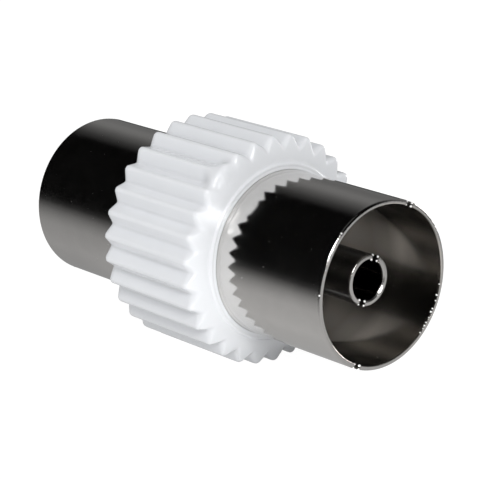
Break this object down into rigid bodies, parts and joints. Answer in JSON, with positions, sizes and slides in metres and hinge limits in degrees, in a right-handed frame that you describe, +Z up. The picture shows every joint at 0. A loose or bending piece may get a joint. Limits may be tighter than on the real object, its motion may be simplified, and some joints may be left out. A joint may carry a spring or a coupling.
{
  "type": "coaxial gender changer",
  "caption": "Coaxial socket to socket adapter: a slit metal tube with a split centre contact at each end and a knurled grip round the middle.",
  "frame": {"origin": "on the axis, half way between the two rims", "axes": "+X along the axis to the mouth nearer the camera, +Z up as it lies on two teeth of its grip, +Y away from the camera's side"},
  "size_m": [0.0264, 0.0142, 0.0142],
  "materials": {
    "tube_plating": "polished nickel plate",
    "contact_plating": "turned nickel plate",
    "insulator_plastic": "natural white, satin",
    "grip_plastic": "white moulded, soft gloss"
  },
  "bodies": {
    "root": {"outer_tube": "tube_plating", "centre_contact": "contact_plating", "insulator": "insulator_plastic", "grip": "grip_plastic"}
  },
  "joints": []
}
